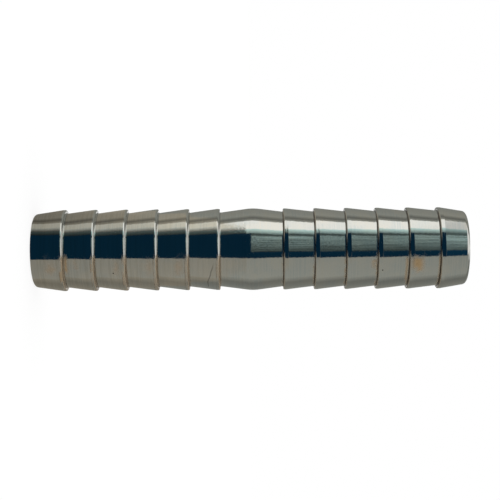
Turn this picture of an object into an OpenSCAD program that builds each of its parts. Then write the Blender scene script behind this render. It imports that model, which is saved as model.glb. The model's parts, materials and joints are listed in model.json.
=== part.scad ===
// Double-ended hose mender, turned in one piece from steel: a barbed tail for each hose, a smooth
// crown between them that the hoses stop against, and a bore right through. It stands on its lower
// end, with Z along the bore. Sizes are in millimetres.

/* [Barbs] */
// Diameter over the crests, which stretch the hose
crest_d = 20.65; // [20:0.05:22]
// Diameter at the foot of each barb on the lower tail
root_low_d = 18.75; // [18:0.05:19.2]
// Diameter at the foot of each barb on the upper tail
root_high_d = 19; // [18:0.05:19.2]
// Distance from one back face to the next
barb_pitch = 7.8; // [5:0.05:10]
// Number of barbs on each tail
barb_count = 6; // [2:1:8]
// Width of each crest, from its back face to where the cone begins
crest_land = 0.75; // [0.4:0.05:1.2]
// Radius of the worn corner between a crest and its back face
crest_round = 0.3; // [0.1:0.05:0.4]
// Radius that the turning tool leaves at the foot of each back face
foot_round = 0.2; // [0.1:0.05:0.3]

/* [Noses] */
// From the last back face to the lower end
nose_low = 8.15; // [6:0.05:12]
// From the last back face to the upper end
nose_high = 7.35; // [6:0.05:12]
// Diameter that a nose's cone runs down to at the end face, before its corner is rounded
nose_d = 18.45; // [17.8:0.05:19.4]
// Radius of the rounded corner of each nose
nose_round = 1.05; // [0.4:0.05:1.1]

/* [Crown] */
// Diameter of the crown at its peak
crown_d = 20.75; // [20:0.05:21.4]
// From the peak to the lower tail's first back face
crown_low = 8.35; // [7:0.05:12]
// From the peak to the upper tail's first back face
crown_high = 7.65; // [7:0.05:12]
// Radius that blends the crown's two flanks over the peak
crown_blend = 13.3; // [6:0.1:15]

/* [Bore] */
// Diameter of the bore
bore_d = 14.5; // [10:0.1:14.8]
// Width of the bevel round each mouth of the bore
bore_bevel = 0.3; // [0.1:0.05:0.4]
// Least width of the flat end face that the part can stand on
face_w = 0.4; // [0.2:0.05:0.6]

/* [Hidden] */
$fn = 96;

crest_r = crest_d / 2;
nose_r = nose_d / 2;
crown_r = crown_d / 2;
bore_r = bore_d / 2;

// From the first back face of a tail to the last, and the peak's height above the lower end face
barbs_w = (barb_count - 1) * barb_pitch;
crown_z = nose_low + barbs_w + crown_low;

// Steps in the crown's blend, a nose's corner, a crest's corner and the foot of a back face
blend_steps = 6;
nose_steps = 8;
crest_steps = 3;
foot_steps = 4;

// The section lies in the plane of the radius and the distance along the bore from the crown's
// peak, and its points run from the peak out to one end face and into the bore.
function arc(centre, r, from, to, steps) = [
    for (i = [0 : steps])
        let (a = from + (to - from) * i / steps)
        centre + r * [cos(a), sin(a)]
];

// Slope of a flank that touches the crown's blend and comes down to root_r at the first back face
function flank_slope(flank_w, root_r) =
    let (rise = crown_blend - (crown_r - root_r))
    atan2(flank_w, rise) - acos(crown_blend / norm([flank_w, rise]));

// A barb whose back face stands at y, with the round foot that the cone before it slopes into. The
// back face between foot and crest is what limits the crest's corner.
function barb(y, root_r, slope) =
    let (
        foot_r = root_r + foot_round * (tan(slope) + 1 / cos(slope)),
        r = min(crest_round, (crest_r - foot_r) / 2)
    )
    concat(
        arc([foot_r, y - foot_round], foot_round, 180 + slope, 90, foot_steps),
        arc([crest_r - r, y + r], r, -90, 0, crest_steps),
        [[crest_r, y + crest_land]]
    );

// The nose's rounded corner, its end face and the bevel at the bore's mouth. The corner takes up
// inset times its radius of the wall, which leaves the end face at least face_w.
function nose(y, nose_w) =
    let (
        slope = atan((crest_r - nose_r) / (nose_w - crest_land)),
        inset = 1 / cos(slope) - tan(slope),
        r = min(nose_round, (nose_r - bore_r - bore_bevel - face_w) / inset)
    )
    concat(
        arc([nose_r - r * inset, y + nose_w - r], r, slope, 90, nose_steps),
        [[bore_r + bore_bevel, y + nose_w], [bore_r, y + nose_w - bore_bevel]]
    );

function half_section(flank_w, root_r, nose_w) =
    let (
        flank = flank_slope(flank_w, root_r),
        cone = atan((crest_r - root_r) / (barb_pitch - crest_land))
    )
    concat(
        arc([crown_r - crown_blend, 0], crown_blend, 0, flank, blend_steps),
        [
            for (i = [0 : barb_count - 1])
                each barb(flank_w + i * barb_pitch, root_r, i == 0 ? flank : cone)
        ],
        nose(flank_w + barbs_w, nose_w)
    );

// The lower half is turned over, and leaves out the peak's point, which the upper half has
module section() {
    upper = half_section(crown_high, root_high_d / 2, nose_high);
    lower = half_section(crown_low, root_low_d / 2, nose_low);
    polygon(concat(upper, [for (i = [len(lower) - 1 : -1 : 1]) [lower[i][0], -lower[i][1]]]));
}

module hose_mender() {
    color("silver") translate([0, 0, crown_z]) rotate_extrude() section();
}

hose_mender();
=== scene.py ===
"""Looks of a double-ended hose mender turned from bright steel, standing on its lower end."""

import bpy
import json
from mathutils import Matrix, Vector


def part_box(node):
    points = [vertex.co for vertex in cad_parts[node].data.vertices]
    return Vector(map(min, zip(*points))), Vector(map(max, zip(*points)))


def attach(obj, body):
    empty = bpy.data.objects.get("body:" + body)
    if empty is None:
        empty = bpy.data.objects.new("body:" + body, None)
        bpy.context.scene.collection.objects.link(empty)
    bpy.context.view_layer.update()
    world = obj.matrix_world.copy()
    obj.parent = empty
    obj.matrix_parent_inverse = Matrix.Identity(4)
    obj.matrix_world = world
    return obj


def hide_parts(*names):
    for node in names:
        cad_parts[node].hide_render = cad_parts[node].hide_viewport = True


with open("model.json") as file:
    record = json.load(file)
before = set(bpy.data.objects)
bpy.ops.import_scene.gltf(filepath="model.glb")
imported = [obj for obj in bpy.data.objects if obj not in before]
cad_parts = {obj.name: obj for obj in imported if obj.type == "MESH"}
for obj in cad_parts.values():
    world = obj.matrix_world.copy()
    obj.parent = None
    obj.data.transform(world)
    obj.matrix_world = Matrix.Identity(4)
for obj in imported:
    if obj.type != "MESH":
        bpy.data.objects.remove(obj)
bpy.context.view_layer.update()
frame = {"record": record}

import json
import math

import bpy
from mathutils import Matrix, Vector

MM = 0.001

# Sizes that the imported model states: its box, and the mounts on the bore and on the two tails
mounts = {mount["name"]: mount for mount in frame["record"]["mounts"]}
_, high_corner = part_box("hose_mender")
height = high_corner.z
crown_r = high_corner.x
bore_r = mounts["through_bore"]["dims"]["r_mm"] * MM
bore_bevel = (height - mounts["through_bore"]["dims"]["length_mm"] * MM) / 2
crest_r = mounts["lower_tail"]["dims"]["r_mm"] * MM
lower_tail = mounts["lower_tail"]["dims"]["length_mm"] * MM
upper_tail = mounts["upper_tail"]["dims"]["length_mm"] * MM

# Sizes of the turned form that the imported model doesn't state
barbs = 6
pitch = 7.8 * MM
crest_w = 0.75 * MM
crest_round = 0.3 * MM
crest_ease = 0.25 * MM
foot_round = 0.2 * MM
lower_foot_r = 9.375 * MM
upper_foot_r = 9.5 * MM
nose_r = 9.225 * MM
nose_round = 1.05 * MM
crown_blend = 13.3 * MM
crown_low = 8.35 * MM
crown_high = 7.65 * MM

barbs_w = (barbs - 1) * pitch
lower_nose = lower_tail - barbs_w
upper_nose = upper_tail - barbs_w
crown_z = lower_tail + crown_low

# How finely the form is turned: steps round the bore, the longest step along the section, the
# distance at which points of the section are one, and the angle past which an edge stays sharp
ROUND_STEPS = 288
LONGEST_STEP = 2.4 * MM
SAME_POINT = 0.001 * MM
SHARP_ANGLE = 28
# A corner has the fewest steps, and so many more for a radius of 1 mm, growing by this power
FEWEST_STEPS, MORE_STEPS, STEPS_POWER = 4.0, 2.0, 0.75


def flank_slope(flank_w, foot_r):
    """Slope of a crown flank that touches the blend and meets the first back face at its foot."""
    rise = crown_blend - (crown_r - foot_r)
    return math.atan2(flank_w, rise) - math.acos(crown_blend / math.hypot(flank_w, rise))


def crown_apex():
    """Radius and height above the peak of the point where the crown's two flanks would meet."""
    low = math.tan(flank_slope(crown_low, lower_foot_r))
    high = math.tan(flank_slope(crown_high, upper_foot_r))
    up = (upper_foot_r + crown_high * high - lower_foot_r - crown_low * low) / (low + high)
    return upper_foot_r + (crown_high - up) * high, up


# Short calls for building node trees

def wire(tree, socket, value):
    """Joins another node's output to a socket, or sets the socket's own value."""
    if isinstance(value, bpy.types.NodeSocket):
        tree.links.new(value, socket)
    else:
        socket.default_value = value


def node(tree, kind, inputs=None, output=0, **settings):
    """Adds a node with its settings and inputs, and returns one of its outputs."""
    made = tree.nodes.new(kind)
    for name, value in settings.items():
        setattr(made, name, value)
    for key, value in (inputs or {}).items():
        wire(tree, made.inputs[key], value)
    return made.outputs[output]


def join(tree, *parts):
    """Joins pieces of geometry."""
    made = tree.nodes.new("GeometryNodeJoinGeometry")
    for part in parts:
        tree.links.new(part, made.inputs[0])
    return made.outputs[0]


def blend(tree, amount, first, second, kind="MIX"):
    """Mixes two colours."""
    made = tree.nodes.new("ShaderNodeMix")
    made.data_type = "RGBA"
    made.blend_type = kind
    wire(tree, made.inputs["Factor"], amount)
    wire(tree, made.inputs[6], first)
    wire(tree, made.inputs[7], second)
    return made.outputs[2]


class Sums:
    """Arithmetic between a tree's values."""

    def __init__(self, tree):
        self.tree = tree

    def __call__(self, operation, *values):
        return node(self.tree, "ShaderNodeMath", dict(enumerate(values)), operation=operation)

    def all_of(self, *marks):
        """The product of several marks."""
        product = marks[0]
        for other in marks[1:]:
            product = self("MULTIPLY", product, other)
        return product

    def strongest(self, *marks):
        """The strongest of several marks."""
        most = marks[0]
        for other in marks[1:]:
            most = self("MAXIMUM", most, other)
        return most

    def between(self, value, start, end, low=0.0, high=1.0, kind="SMOOTHSTEP"):
        """Runs from low to high while the value goes from start to end."""
        return node(self.tree, "ShaderNodeMapRange",
                    {0: value, 1: start, 2: end, 3: low, 4: high}, interpolation_type=kind)

    def span(self, value, start, end, soft):
        """1 while a value is between two sizes, softened at both ends."""
        return self("MULTIPLY", self.between(value, start - soft, start + soft),
                    self.between(value, end - soft, end + soft, 1.0, 0.0))


def new_group(name, kind, sockets):
    """A node group with the named inputs, and a dictionary of what those inputs carry."""
    tree = bpy.data.node_groups.new(name, kind)
    for title, socket_type in sockets:
        tree.interface.new_socket(title, in_out="INPUT", socket_type=socket_type)
    given = tree.nodes.new("NodeGroupInput")
    return tree, {title: given.outputs[title] for title, _ in sockets}


def close_group(tree, result, name="Geometry", socket_type="NodeSocketGeometry"):
    """Gives the group its output."""
    tree.interface.new_socket(name, in_out="OUTPUT", socket_type=socket_type)
    wire(tree, tree.nodes.new("NodeGroupOutput").inputs[0], result)


def place_in_scene(name, data):
    """A new object in the scene."""
    made = bpy.data.objects.new(name, data)
    bpy.context.scene.collection.objects.link(made)
    return made


def new_material(name):
    """A new material and its node tree."""
    made = bpy.data.materials.new(name)
    made.use_nodes = True
    return made, made.node_tree


# The turned form. A section lies in the XY plane, with the radius along X and the height along Y.

LENGTH = "NodeSocketFloat"
TAIL_SIZES = [
    ("Barbs", "NodeSocketInt"), ("Pitch", LENGTH), ("First back face", LENGTH),
    ("Foot radius", LENGTH), ("Crest radius", LENGTH), ("Crest width", LENGTH),
    ("Nose width", LENGTH), ("Nose radius", LENGTH), ("Bore radius", LENGTH),
    ("Bore bevel", LENGTH), ("Foot corner", LENGTH), ("Crest corner", LENGTH),
    ("Crest ease", LENGTH), ("Nose corner", LENGTH), ("Apex radius", LENGTH),
    ("Apex height", LENGTH), ("Crown blend", LENGTH),
]
# The sizes that differ from tail to tail, and the body's own sizes, which stand in for them
OWN_SIZES = ("First back face", "Foot radius", "Nose width")
BODY_SIZES = [
    ("Upper first back face", LENGTH), ("Lower first back face", LENGTH),
    ("Upper foot radius", LENGTH), ("Lower foot radius", LENGTH),
    ("Upper nose width", LENGTH), ("Lower nose width", LENGTH),
    ("Peak height", LENGTH), ("Steps round", "NodeSocketInt"), ("Longest step", LENGTH),
]


def corner_line(tree, points, corners):
    """An outline through four points, each with the radius that its corner is rounded to."""
    line = tree.nodes.new("GeometryNodeCurvePrimitiveQuadrilateral")
    line.mode = "POINTS"
    for number, (radius, up) in enumerate(points, 1):
        place = node(tree, "ShaderNodeCombineXYZ", {0: radius, 1: up})
        wire(tree, line.inputs[f"Point {number}"], place)
    opened = node(tree, "GeometryNodeSetSplineCyclic",
                  {"Geometry": line.outputs[0], "Cyclic": False})
    chosen = tree.nodes.new("GeometryNodeIndexSwitch")
    chosen.data_type = "FLOAT"
    chosen.index_switch_items.new()
    chosen.index_switch_items.new()
    wire(tree, chosen.inputs["Index"], node(tree, "GeometryNodeInputIndex"))
    for number, corner in enumerate(corners, 1):
        wire(tree, chosen.inputs[number], corner)
    return node(tree, "GeometryNodeStoreNamedAttribute",
                {"Geometry": opened, "Name": "corner", "Value": chosen.outputs[0]},
                data_type="FLOAT")


def tail_group():
    """One tail's outline, from the crown's apex over barbs and nose to the middle of the bore."""
    tree, size = new_group("tail_outline", "GeometryNodeTree", TAIL_SIZES)
    sums = Sums(tree)
    foot, crest, first = size["Foot radius"], size["Crest radius"], size["First back face"]
    feet, ease = size["Foot corner"], size["Crest ease"]

    flank_half = sums("MULTIPLY", sums("ADD", size["Apex radius"], foot), 0.5)
    flank_up = sums("MULTIPLY", sums("ADD", size["Apex height"], first), 0.5)
    flank_late = sums("ADD", sums("MULTIPLY", flank_half, 0.5), sums("MULTIPLY", foot, 0.5))
    flank_late_up = sums("ADD", sums("MULTIPLY", flank_up, 0.5), sums("MULTIPLY", first, 0.5))
    flank = corner_line(
        tree,
        [(size["Apex radius"], size["Apex height"]), (flank_half, flank_up),
         (flank_late, flank_late_up), (foot, first)],
        [size["Crown blend"], 0.0, 0.0, feet])

    barb = corner_line(
        tree,
        [(foot, 0.0), (crest, 0.0), (crest, size["Crest width"]), (foot, size["Pitch"])],
        [feet, size["Crest corner"], ease, feet])
    row = node(tree, "GeometryNodeMeshLine", {
        "Count": sums("SUBTRACT", size["Barbs"], 1.0),
        "Start Location": node(tree, "ShaderNodeCombineXYZ", {1: first}),
        "Offset": node(tree, "ShaderNodeCombineXYZ", {1: size["Pitch"]}),
    })
    barb_row = node(tree, "GeometryNodeInstanceOnPoints", {"Points": row, "Instance": barb})
    barb_row = node(tree, "GeometryNodeRealizeInstances", {"Geometry": barb_row})

    between_faces = sums("MULTIPLY", size["Pitch"], sums("SUBTRACT", size["Barbs"], 1.0))
    last = sums("ADD", first, between_faces)
    end = sums("ADD", last, size["Nose width"])
    nose = corner_line(
        tree,
        [(foot, last), (crest, last), (crest, sums("ADD", last, size["Crest width"])),
         (size["Nose radius"], end)],
        [feet, size["Crest corner"], ease, size["Nose corner"]])
    mouth = corner_line(
        tree,
        [(size["Nose radius"], end), (sums("ADD", size["Bore radius"], size["Bore bevel"]), end),
         (size["Bore radius"], sums("SUBTRACT", end, size["Bore bevel"])),
         (size["Bore radius"], 0.0)],
        [size["Nose corner"], 0.0, 0.0, 0.0])
    close_group(tree, join(tree, flank, barb_row, nose, mouth))
    return tree


def turned_tree(material):
    """The whole section, rounded at its corners and turned round the bore's axis."""
    shared = [entry for entry in TAIL_SIZES if entry[0] not in OWN_SIZES]
    tree, size = new_group("turned_body", "GeometryNodeTree", shared + BODY_SIZES)
    sums = Sums(tree)
    tail = tail_group()

    def outline(side, apex_sign):
        """One tail's outline with the sizes of its side."""
        made = tree.nodes.new("GeometryNodeGroup")
        made.node_tree = tail
        for title, _ in shared:
            wire(tree, made.inputs[title], size[title])
        apex_height = sums("MULTIPLY", size["Apex height"], apex_sign)
        wire(tree, made.inputs["Apex height"], apex_height)
        for title in OWN_SIZES:
            wire(tree, made.inputs[title], size[f"{side} {title.lower()}"])
        return made.outputs[0]

    lower = node(tree, "GeometryNodeTransform",
                 {"Geometry": outline("Lower", -1.0), "Scale": (1, -1, 1)})
    both = join(tree, outline("Upper", 1.0), lower)
    lines = node(tree, "GeometryNodeCurveToMesh", {"Curve": both})
    merged = node(tree, "GeometryNodeMergeByDistance", {"Geometry": lines, "Distance": SAME_POINT})
    section = node(tree, "GeometryNodeMeshToCurve", {"Mesh": merged})

    # A wider corner is rounded in more steps
    corner = node(tree, "GeometryNodeInputNamedAttribute", {"Name": "corner"}, data_type="FLOAT")
    wider = sums("POWER", sums("DIVIDE", corner, MM), STEPS_POWER)
    steps = sums("ADD", FEWEST_STEPS, sums("MULTIPLY", wider, MORE_STEPS))
    rounded = node(tree, "GeometryNodeFilletCurve",
                   {"Curve": section, "Count": steps, "Radius": corner, "Limit Radius": False},
                   mode="POLY")

    # Long stretches get rings of their own, so that shading stays true on them
    along = node(tree, "GeometryNodeSplineParameter", output="Length")
    following = sums("ADD", node(tree, "GeometryNodeInputIndex"), 1.0)
    after = node(tree, "GeometryNodeFieldAtIndex", {"Value": along, "Index": following},
                 data_type="FLOAT", domain="POINT")
    gap = sums("SUBTRACT", after, along)
    cuts = sums("FLOOR", sums("DIVIDE", gap, size["Longest step"]))
    ringed = node(tree, "GeometryNodeSubdivideCurve",
                  {"Curve": rounded, "Cuts": sums("MAXIMUM", cuts, 0.0)})

    # The sweep takes a section's X outwards from its path and its Y downwards
    inset = node(tree, "ShaderNodeCombineXYZ", {0: sums("MULTIPLY", size["Bore radius"], -1.0)})
    profile = node(tree, "GeometryNodeTransform",
                   {"Geometry": ringed, "Scale": (1, -1, 1), "Translation": inset})
    path = node(tree, "GeometryNodeCurvePrimitiveCircle",
                {"Resolution": size["Steps round"], "Radius": size["Bore radius"]})
    turned = node(tree, "GeometryNodeCurveToMesh", {"Curve": path, "Profile Curve": profile})
    peak = node(tree, "ShaderNodeCombineXYZ", {2: size["Peak height"]})
    lifted = node(tree, "GeometryNodeTransform", {"Geometry": turned, "Translation": peak})
    edge_angle = node(tree, "GeometryNodeInputMeshEdgeAngle")
    sharp = node(tree, "FunctionNodeCompare", {0: edge_angle, 1: math.radians(SHARP_ANGLE)},
                 data_type="FLOAT", operation="GREATER_THAN")
    smooth = node(tree, "GeometryNodeSetShadeSmooth",
                  {"Geometry": lifted, "Shade Smooth": True}, domain="FACE")
    edged = node(tree, "GeometryNodeSetShadeSmooth",
                 {"Geometry": smooth, "Selection": sharp, "Shade Smooth": False}, domain="EDGE")
    real = node(tree, "GeometryNodeRealizeInstances", {"Geometry": edged})
    close_group(tree, node(tree, "GeometryNodeSetMaterial",
                           {"Geometry": real, "Material": material}))
    return tree


def keep_long_faces_straight(mesh):
    """Lets the largest faces at a smooth vertex decide its normal: only corners look round."""
    lean = [Vector() for _ in mesh.vertices]
    for face in mesh.polygons:
        pull = face.normal * (face.area / MM ** 2) ** 2
        for number in face.vertices:
            lean[number] += pull
    for edge in mesh.edges:
        if edge.use_edge_sharp:
            for number in edge.vertices:
                lean[number] = Vector()
    mesh.normals_split_custom_set_from_vertices([pull.normalized() for pull in lean])


def turned_body(material):
    """The mender as one closed mesh, at the origin, with its place in its mesh."""
    carrier = place_in_scene("carrier", bpy.data.meshes.new("carrier"))
    turning = carrier.modifiers.new("turning", "NODES")
    turning.node_group = turned_tree(material)
    apex_r, apex_up = crown_apex()
    sizes = {
        "Barbs": barbs, "Pitch": pitch, "Crest radius": crest_r, "Crest width": crest_w,
        "Nose radius": nose_r, "Bore radius": bore_r, "Bore bevel": bore_bevel,
        "Foot corner": foot_round, "Crest corner": crest_round, "Crest ease": crest_ease,
        "Nose corner": nose_round, "Apex radius": apex_r, "Apex height": apex_up,
        "Crown blend": crown_blend, "Upper first back face": crown_high,
        "Lower first back face": crown_low, "Upper foot radius": upper_foot_r,
        "Lower foot radius": lower_foot_r, "Upper nose width": upper_nose,
        "Lower nose width": lower_nose, "Peak height": crown_z, "Steps round": ROUND_STEPS,
        "Longest step": LONGEST_STEP,
    }
    for socket in turning.node_group.interface.items_tree:
        if socket.name in sizes:
            turning[socket.identifier] = sizes[socket.name]
    graph = bpy.context.evaluated_depsgraph_get()
    mesh = bpy.data.meshes.new_from_object(
        carrier.evaluated_get(graph), preserve_all_data_layers=True, depsgraph=graph)
    bpy.data.objects.remove(carrier)
    mesh.name = "turned_mender"
    keep_long_faces_straight(mesh)
    return place_in_scene("turned_mender", mesh)


# Marks on the steel. A place along the part is in millimetres over the crown's peak, and an angle
# is in degrees from the front towards +X, which is the lower side of the picture.

# Stains of rust: start, end, first angle, last angle, softness and strength
RUST = [
    (-51.6, -49.0, 16, 32, 0.6, 0.4), (-46.9, -46.2, 14, 38, 0.3, 0.75),
    (-44.6, -43.4, 16, 24, 0.4, 0.4), (-34.6, -33.4, 18, 34, 0.4, 0.35),
    (-26.5, -25.0, 18, 32, 0.5, 0.3), (-19.4, -17.4, 18, 36, 0.5, 0.35),
    (29.4, 30.9, 14, 28, 0.4, 0.55), (37.9, 38.6, 14, 60, 0.25, 0.6),
    (39.4, 42.2, 13, 33, 0.8, 0.8),
]
# Small dark pits: place, angle and radius
PITS = [(32.15, 32, 0.2), (-34.8, 35, 0.2)]
# The angles that a scratch near the crown runs between, its two places there, and where it shows
SCRATCH_ANGLES, SCRATCH_PLACES, SCRATCH_SHOWS = (21.0, 52.0), (-9.85, -11.35), (24.0, 70.0)
# The angles over which the marks below the front set in, and over which the crease lines above it,
# grime with painted shade, end
BELOW_FRONT, SHADE_ABOVE_FRONT = (4.0, 14.0), (-45.0, -28.0)
# How far ragged edges stray: along the part, round it in degrees, and from a back face
STRAY_ALONG, STRAY_ROUND, STRAY_FACE = 0.5, 40.0, 0.22
# A stain's ends are this much softer than stated, and its sides fade over so many degrees
STAIN_SOFTER, STAIN_SIDES = 1.4, 8.0

# Tilt of the crests, as bump: from, to, and the height at its start, which runs out at its end. The
# upper tail's grows by this share from barb to barb.
UPPER_TILT = [(0.0, 0.75, -0.125), (0.75, 1.15, -0.12)]
LOWER_TILT = [(0.15, 0.5, -0.12), (0.5, 0.75, 0.03)]
TILT_GROWS = 0.08
# Tilt of the feet, as bump: how long it is, how low it lies, and how much higher on the upper tail
FOOT_TILT_W, FOOT_TILT_LOW, FOOT_TILT_MORE = 0.45, 0.03, 0.15
# The radii over which the tilt sets in, so that the bore and the flat ends have none
TILT_FROM, TILT_FULL = 8.6, 8.9
RING_DEPTH, GRAIN_DEPTH = 0.003, 0.008

# Noises: grains to a millimetre round the bore and along it, detail and roughness
PATCHES, UNEVEN, WANDER = (0.16, 0.16, 3.0, 0.6), (0.7, 0.7, 3.0, 0.6), (0.35, 0.35, 2.0, 0.5)
SPREAD, HAIRLINES, STROKES = (0.3, 0.6, 3.0, 0.6), (0.012, 3.0, 2.0, 0.7), (0.08, 1.8, 3.0, 0.7)
RINGS, GRAIN = (0.012, 2.4, 3.0, 0.7), (1.8, 1.8, 2.0, 0.5)

COOL_STEEL, WARM_STEEL = (0.55, 0.575, 0.565, 1), (0.64, 0.62, 0.565, 1)
HAIRLINE_STEEL, BRUSHED_STEEL = (0.62, 0.615, 0.585, 1), (0.44, 0.43, 0.38, 1)
# The second colour is both grime and the painted shade in the step creases
RUST_BROWN, GRIME_AND_SHADE = (0.5, 0.3, 0.1, 1), (0.06, 0.045, 0.035, 1)
POLISHED = 0.06


class Steel:
    """Where each point of the steel lies on the turned form, and the marks that it has there."""

    def __init__(self, tree):
        self.tree = tree
        self.sums = sums = Sums(tree)
        self.place = node(tree, "ShaderNodeTexCoord", output="Object")
        split = tree.nodes.new("ShaderNodeSeparateXYZ")
        wire(tree, split.inputs[0], self.place)
        x, y, z = split.outputs

        # The height over the crown's peak, which tail it is, the barb's number from the crown, the
        # distance from its back face towards the end, the radius, and the angle from the front
        self.above = sums("SUBTRACT", z, crown_z)
        self.upper = sums("GREATER_THAN", self.above, 0.0)
        self.lower = sums("SUBTRACT", 1.0, self.upper)
        first = sums("ADD", sums("MULTIPLY", self.upper, crown_high - crown_low), crown_low)
        past = sums("SUBTRACT", sums("ABSOLUTE", self.above), first)
        nearest = sums("ROUND", sums("DIVIDE", past, pitch))
        self.step = sums("MINIMUM", sums("MAXIMUM", nearest, 0.0), barbs - 1.0)
        self.from_face = sums("SUBTRACT", past, sums("MULTIPLY", self.step, pitch))
        squares = sums("ADD", sums("MULTIPLY", x, x), sums("MULTIPLY", y, y))
        self.radius = sums("SQRT", squares)
        turned = sums("ARCTAN2", x, sums("MULTIPLY", y, -1.0))
        self.turned = sums("MULTIPLY", turned, 180 / math.pi)

        # The same places with uneven edges, for everything that lies on the steel
        self.patches = self.noise(*PATCHES)
        uneven = sums("SUBTRACT", self.noise(*UNEVEN), 0.5)
        wander = sums("SUBTRACT", self.noise(*WANDER), 0.5)
        stray_along = sums("MULTIPLY", uneven, STRAY_ALONG * MM)
        self.ragged_above = sums("ADD", self.above, stray_along)
        self.ragged_turned = sums("ADD", self.turned, sums("MULTIPLY", wander, STRAY_ROUND))
        self.ragged_face = sums("ADD", self.from_face, sums("MULTIPLY", uneven, STRAY_FACE * MM))
        self.in_front = sums.between(self.turned, *BELOW_FRONT)
        self.spread = sums.between(self.noise(*SPREAD), 0.38, 0.62, 0.15, 1.0)

    def noise(self, round_scale, along_scale, detail, roughness):
        """Noise with so many grains to a millimetre round the bore and along it."""
        stretched = node(self.tree, "ShaderNodeMapping", {
            "Vector": self.place,
            "Scale": (round_scale / MM, round_scale / MM, along_scale / MM)})
        return node(self.tree, "ShaderNodeTexNoise", {
            "Vector": stretched, "Scale": 1.0, "Detail": detail, "Roughness": roughness})

    def growing(self, first, more):
        """A value that grows by the same amount from barb to barb, outwards from the crown."""
        return self.sums("ADD", first, self.sums("MULTIPLY", self.step, more))

    def near_face(self, start, end, soft):
        """1 between two distances from a back face, in millimetres, with ragged edges."""
        return self.sums.span(self.ragged_face, start * MM, end * MM, soft * MM)

    def stain(self, start, end, first_angle, last_angle, soft, strength):
        """One stain of rust."""
        sums = self.sums
        return sums.all_of(
            sums.span(self.ragged_above, start * MM, end * MM, soft * STAIN_SOFTER * MM),
            sums.span(self.ragged_turned, first_angle, last_angle, STAIN_SIDES), strength)

    def pit(self, along, angle, reach):
        """One small dark pit."""
        sums = self.sums
        off_angle = sums("SUBTRACT", self.turned, angle)
        aside = sums("MULTIPLY", off_angle, crest_r * math.pi / 180)
        off_place = sums("POWER", sums("SUBTRACT", self.above, along * MM), 2.0)
        away = sums("SQRT", sums("ADD", off_place, sums("POWER", aside, 2.0)))
        return sums.between(away, 0.6 * reach * MM, 1.2 * reach * MM, 1.0, 0.0)

    def rust(self):
        """Rust on the lower tail's crests and at the upper tail's feet, below the front."""
        sums, lower, in_front = self.sums, self.lower, self.in_front
        on_crests = sums.all_of(self.near_face(-0.4, 0.85, 0.2), lower, in_front, self.spread,
                                self.growing(0.3, 0.06))
        at_feet = sums.all_of(self.near_face(-0.55, 0.15, 0.2), self.upper, in_front, self.spread,
                              0.6)
        corner_end = sums("ADD", 0.12 * MM, sums("MULTIPLY", lower, 0.18 * MM))
        past_corner = sums("SUBTRACT", self.ragged_face, corner_end)
        in_corners = sums.all_of(
            sums.between(self.ragged_face, -0.3 * MM, -0.15 * MM),
            sums.between(past_corner, -0.1 * MM, 0.1 * MM, 1.0, 0.0),
            in_front, sums("ADD", 0.25, sums("MULTIPLY", lower, 0.3)))
        stains = (self.stain(*measures) for measures in RUST)
        return sums.strongest(on_crests, at_feet, in_corners, *stains)

    def grime_and_shade(self):
        """Dark lines along the back faces, which are grime with painted shade in the step creases,
        dark lines along the crests, a scratch and the pits.
        """
        sums, lower, upper, in_front = self.sums, self.lower, self.upper, self.in_front
        shade_above_front = sums.between(self.turned, *SHADE_ABOVE_FRONT, 0.4, 0.0)
        patchy = sums.between(self.patches, 0.3, 0.6, 0.1, 0.5)
        # Dark lines in the creases at the back faces: grime with painted shade; on the lower tail
        # they show below the front and, fainter, above it
        crease_grime_and_shade = sums.all_of(
            self.near_face(-0.22, 0.05, 0.06),
            sums("ADD", patchy, sums("MULTIPLY", upper, 0.35)),
            sums("MAXIMUM", sums("ADD", in_front, shade_above_front), upper))
        crest_line = sums.all_of(self.near_face(0.8, 0.9, 0.07), lower, in_front, self.spread, 0.7)
        first_place, last_place = SCRATCH_PLACES
        path = sums.between(self.turned, *SCRATCH_ANGLES, first_place * MM, last_place * MM,
                            "LINEAR")
        off_path = sums("ABSOLUTE", sums("SUBTRACT", self.ragged_above, path))
        scratch = sums.all_of(sums.between(off_path, 0.06 * MM, 0.2 * MM, 1.0, 0.0),
                              sums.span(self.turned, *SCRATCH_SHOWS, 6.0), 0.5)
        pits = (self.pit(*measures) for measures in PITS)
        return sums.strongest(crease_grime_and_shade, crest_line, scratch, *pits)

    def tint(self):
        """The clean steel's colour: cool and warm patches, hairlines, and a brushed lower tail."""
        sums, tree = self.sums, self.tree
        hairlines = sums.between(self.noise(*HAIRLINES), 0.35, 0.65)
        warmth = sums.between(self.patches, 0.38, 0.62)
        colour = blend(tree, warmth, COOL_STEEL, WARM_STEEL)
        colour = blend(tree, hairlines, colour, HAIRLINE_STEEL)
        strokes = sums.between(self.noise(*STROKES), 0.42, 0.62)
        brushed = sums.all_of(strokes, self.lower, self.growing(0.15, 0.04))
        return blend(tree, brushed, colour, BRUSHED_STEEL)

    def tilt(self, ramps):
        """Height of a tilted crest, from ramps that each run out evenly."""
        first, second = (self.sums.between(self.from_face, start * MM, end * MM, height * MM, 0.0,
                                           "LINEAR") for start, end, height in ramps)
        return self.sums("ADD", first, second)

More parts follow.
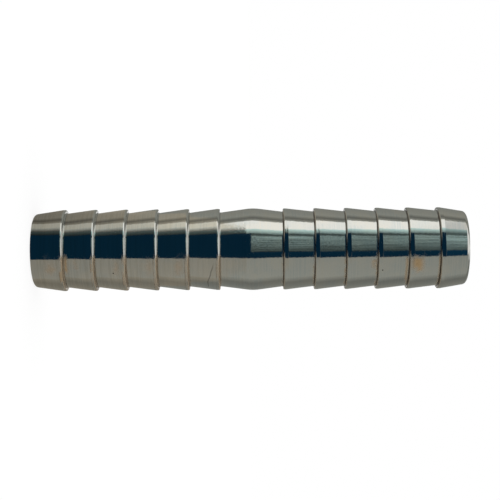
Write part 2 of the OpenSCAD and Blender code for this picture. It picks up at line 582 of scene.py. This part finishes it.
    def relief(self):
        """Height of the steel as bump: the tilt of crests and feet, tool rings and a fine grain.

        The tilt turns the reflections at each step. The mesh keeps its square crests."""
        sums, upper = self.sums, self.upper
        on_crest = sums("GREATER_THAN", self.from_face, -0.02 * MM)
        at_foot = sums("SUBTRACT", 1.0, on_crest)
        upper_crest = sums("MULTIPLY", self.tilt(UPPER_TILT), self.growing(1.0, TILT_GROWS))
        crest = sums("ADD", sums("MULTIPLY", upper, upper_crest),
                     sums("MULTIPLY", self.lower, self.tilt(LOWER_TILT)))
        foot_lift = sums("SUBTRACT", sums("MULTIPLY", upper, FOOT_TILT_MORE * MM),
                         FOOT_TILT_LOW * MM)
        towards_face = sums.between(self.from_face, -FOOT_TILT_W * MM, 0.0, 0.0, 1.0, "LINEAR")
        foot = sums("MULTIPLY", foot_lift, towards_face)
        tilts = sums("ADD", sums("MULTIPLY", crest, on_crest), sums("MULTIPLY", foot, at_foot))
        outside = sums.between(self.radius, TILT_FROM * MM, TILT_FULL * MM)
        rings = sums("MULTIPLY", self.noise(*RINGS), RING_DEPTH * MM)
        grain = sums("MULTIPLY", self.noise(*GRAIN), GRAIN_DEPTH * MM)
        return sums("ADD", sums("MULTIPLY", tilts, outside), sums("ADD", rings, grain))


def steel():
    """Bright turned steel with its tool marks, with grime and rust at the steps, and painted shade
    in the step creases.
    """
    made, tree = new_material("bright_steel")
    shader = tree.nodes["Principled BSDF"]
    marks = Steel(tree)
    sums, rust, grime_and_shade = marks.sums, marks.rust(), marks.grime_and_shade()

    colour = blend(tree, rust, marks.tint(), RUST_BROWN)
    # The dark colour lays grime and painted crease shade onto the steel
    wire(tree, shader.inputs["Base Color"], blend(tree, grime_and_shade, colour, GRIME_AND_SHADE))
    unlike_metal = sums("MAXIMUM", sums("MULTIPLY", rust, 0.6), sums("MULTIPLY", grime_and_shade, 0.15))
    wire(tree, shader.inputs["Metallic"], sums("SUBTRACT", 1.0, unlike_metal))
    dull = sums("MAXIMUM", sums("MULTIPLY", rust, 0.4), sums("MULTIPLY", grime_and_shade, 0.2))
    dull = sums("ADD", dull, sums("MULTIPLY", marks.patches, 0.04))
    wire(tree, shader.inputs["Roughness"], sums("ADD", POLISHED, dull))
    bumped = node(tree, "ShaderNodeBump",
                  {"Height": marks.relief(), "Strength": 1.0, "Distance": 1.0})
    wire(tree, shader.inputs["Normal"], bumped)
    return made


# The studio is white all round, and cards stand and lie round the part as a photographer sets them
# for bright metal: only gloss sees them. Each spans two angles round the bore, from 0 where the
# camera stands towards 90 at -X, which is up in the picture. It has one tone, with how bright it is
# at its first and its last edge.

WARM, TAN, GREY, PLAIN = (1, 0.97, 0.85), (1, 0.93, 0.77), (0.98, 1, 0.91), (1, 1, 0.97)
TEAL, NAVY = (0.74, 1, 0.98), (0.06, 0.48, 1)

# How far out and how high the rows of a card's points are, in millimetres, and how bright they are.
# ON_FLOOR and TABLE_TOP lie on the floor, STANDING stands beyond them, and the others do both.
ON_FLOOR = [(-2.2, 0.05, 0.7), (30, 0.05, 0.85), (150, 0.05, 1.3), (230, 0.05, 1.3)]
TABLE_TOP = [(-2.2, 0.05, 0.9), (30, 0.05, 0.95), (150, 0.05, 1.0), (230, 0.05, 1.0)]
BLACK = [(-2.2, 0.05, 1.0), (300, 0.05, 1.0), (300, 35, 1.0)]
STANDING = [(300, 35, 1.0), (300, 215, 1.1), (300, 260, 1.5), (300, 340, 1.5)]
FULL = [(230, 0.05, 1.0), (300, 0.05, 1.0), (300, 200, 1.0), (300, 235, 0.65), (300, 340, 0.5)]
TALL = [(230, 0.05, 1.0), (300, 0.05, 1.0), (300, 900, 0.9)]
CARDS = {
    "far_table_top": (-178, -112, 0.32, 0.25, TAN, TABLE_TOP),
    "middle_table_top": (-112, -92, 0.25, 0.35, TAN, TABLE_TOP),
    "near_table_top": (-92, -26, 0.37, 0.33, WARM, TABLE_TOP),
    "far_table": (-178, -112, 0.3, 0.21, GREY, TALL),
    "middle_table": (-112, -92, 0.21, 0.36, GREY, TALL),
    "near_table": (-92, -26, 0.38, 0.35, GREY, TALL),
    "black_mat": (-26, 46, 0.045, 0.045, NAVY, BLACK),
    "dim_mat": (46, 58, 0.03, 0.12, TEAL, ON_FLOOR),
    "fading_mat": (58, 70, 0.12, 0.62, GREY, ON_FLOOR),
    "pale_mat": (70, 87, 0.65, 0.65, WARM, ON_FLOOR),
    "gap_on_floor": (87, 99, 0.35, 0.15, TAN, ON_FLOOR),
    "grey_mat": (99, 112, 0.15, 0.34, TAN, ON_FLOOR),
    "wide_grey_mat": (112, 178, 0.33, 0.24, TAN, ON_FLOOR),
    "black_card": (-26, -8, 0.045, 0.05, NAVY, STANDING),
    "mottled_card": (-8, 38, 0.07, 0.33, TEAL, STANDING),
    "dark_edge": (38, 45, 0.1, 0.08, TEAL, STANDING),
    "fading_light": (45, 59, 0.25, 1.0, TEAL, FULL),
    "strip_light": (59, 88, 1.22, 1.22, PLAIN, FULL),
    "gap": (88, 99, 0.4, 0.17, GREY, TALL),
    "overhead_edge": (99, 112, 0.17, 0.35, GREY, TALL),
    "overhead_card": (112, 178, 0.36, 0.22, GREY, TALL),
}
# The widest step of a card's curve, in degrees, and the mottled card's grains to a millimetre
CARD_STEP = 3
MOTTLE_SCALE = (0.09 / MM, 0.09 / MM, 0.11 / MM)

WHITE = (1, 1, 1, 1)
# The floor reaches this far in metres. It is dull, and shines by itself where a ray sees it.
FLOOR_REACH, FLOOR_BASE, FLOOR_LIGHT = 60.0, (0.2, 0.2, 0.2, 1), 0.82


def card_mesh(name, start, end, first_light, last_light, tone, rows):
    """A mesh whose points carry how bright they are.

    Every height of the part sees it in the same place, because its edges run on from the steel."""
    steps = math.ceil((end - start) / CARD_STEP)
    points, lights = [], []
    for number in range(steps + 1):
        share = number / steps
        turn = math.radians(start + (end - start) * share)
        brightness = first_light + (last_light - first_light) * share
        for reach, up, factor in rows:
            foot, out = crown_r + min(reach, 0) * MM, max(reach, 0) * MM
            points.append((-foot * math.sin(turn / 2) - out * math.sin(turn),
                           -foot * math.cos(turn / 2) - out * math.cos(turn), up * MM))
            lights.append([value * brightness * factor for value in tone])
    count = len(rows)
    faces = [(a, a + 1, a + 1 + count, a + count)
             for number in range(steps)
             for a in range(number * count, (number + 1) * count - 1)]
    mesh = bpy.data.meshes.new(name)
    mesh.from_pydata(points, [], faces)
    shown = mesh.color_attributes.new("light", "FLOAT_COLOR", "POINT")
    for entry, light in zip(shown.data, lights):
        entry.color = (*light, 1)
    return mesh


def mottled(tree, colour):
    """The colour, broken up into soft lighter and darker spots."""
    spots = node(tree, "ShaderNodeMapping", {
        "Vector": node(tree, "ShaderNodeTexCoord", output="Object"), "Scale": MOTTLE_SCALE})
    spots = node(tree, "ShaderNodeTexNoise", {"Vector": spots, "Scale": 1.0, "Detail": 2.0})
    spots = Sums(tree).between(spots, 0.3, 0.7, 0.25, 1.75)
    spots = node(tree, "ShaderNodeCombineXYZ", {0: spots, 1: spots, 2: spots})
    return blend(tree, 1.0, colour, spots, "MULTIPLY")


def card(name, measures):
    """A card that shines by itself, and that only gloss sees."""
    mesh = card_mesh(name, *measures)
    made, tree = new_material(name)
    tree.nodes.clear()
    colour = node(tree, "ShaderNodeAttribute", output="Color", attribute_name="light")
    if name == "mottled_card":
        colour = mottled(tree, colour)
    out = tree.nodes.new("ShaderNodeOutputMaterial")
    wire(tree, out.inputs["Surface"], node(tree, "ShaderNodeEmission", {"Color": colour}))
    mesh.materials.append(made)
    stood = place_in_scene(name, mesh)
    stood.visible_camera = False
    stood.visible_diffuse = False
    stood.visible_transmission = False
    stood.visible_shadow = False


def studio():
    """A plain white room, with its cards."""
    world = bpy.data.worlds.new("studio")
    world.use_nodes = True
    bpy.context.scene.world = world
    background = world.node_tree.nodes["Background"]
    background.inputs["Color"].default_value = WHITE
    background.inputs["Strength"].default_value = 1.0
    for name, measures in CARDS.items():
        card(name, measures)


def pale_floor():
    """A wide white floor at the part's foot, which keeps a faint shadow."""
    mesh = bpy.data.meshes.new("pale_floor")
    reach = FLOOR_REACH
    mesh.from_pydata([(-reach, -reach, 0), (reach, -reach, 0), (reach, reach, 0),
                      (-reach, reach, 0)], [], [(0, 1, 2, 3)])
    floor = place_in_scene("pale_floor", mesh)
    made, tree = new_material("pale_floor")
    shader = tree.nodes["Principled BSDF"]
    shader.inputs["Base Color"].default_value = FLOOR_BASE
    shader.inputs["Roughness"].default_value = 1.0
    shader.inputs["Specular IOR Level"].default_value = 0.0
    shader.inputs["Emission Color"].default_value = WHITE
    rays = tree.nodes.new("ShaderNodeLightPath")
    sums = Sums(tree)
    seen = sums.strongest(rays.outputs["Is Camera Ray"], rays.outputs["Is Glossy Ray"],
                          rays.outputs["Is Transmission Ray"])
    wire(tree, shader.inputs["Emission Strength"], sums("MULTIPLY", seen, FLOOR_LIGHT))
    mesh.materials.append(made)


# The camera's lens and sensor in millimetres, how far it stands from the bore's axis, how far the
# part's middle lies right of and over the picture's, and how many degrees the part leans there.
# It sees what lies between two distances in metres.
NEAREST, FARTHEST = 0.01, 200
LENS, SENSOR, CAMERA_AWAY = 93.19, 36, 330
PART_RIGHT, PART_UP, PART_LEAN = 0.408, 0.214, 0.445


def camera():
    """The photograph's view: level, side on, and turned so the part lies across the picture."""
    lens = bpy.data.cameras.new("camera")
    lens.sensor_width = SENSOR
    lens.lens = LENS
    lens.clip_start = NEAREST
    lens.clip_end = FARTHEST
    viewer = place_in_scene("camera", lens)
    lean = math.radians(PART_LEAN)
    right = Vector((math.sin(lean), 0, math.cos(lean)))
    up = Vector((-math.cos(lean), 0, math.sin(lean)))
    back = Vector((0, -1, 0))
    middle = Vector((0, 0, lower_tail + (crown_low + crown_high) / 2))
    place = (middle - PART_RIGHT * MM * right - PART_UP * MM * up
             + Vector((0, -CAMERA_AWAY * MM, 0)))
    turned = Matrix((right, up, back)).transposed().to_4x4()
    viewer.matrix_world = Matrix.Translation(place) @ turned
    bpy.context.scene.camera = viewer


bpy.context.scene.view_settings.view_transform = "Standard"
camera()
studio()
pale_floor()
mender = turned_body(steel())
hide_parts("hose_mender")
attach(mender, "root")
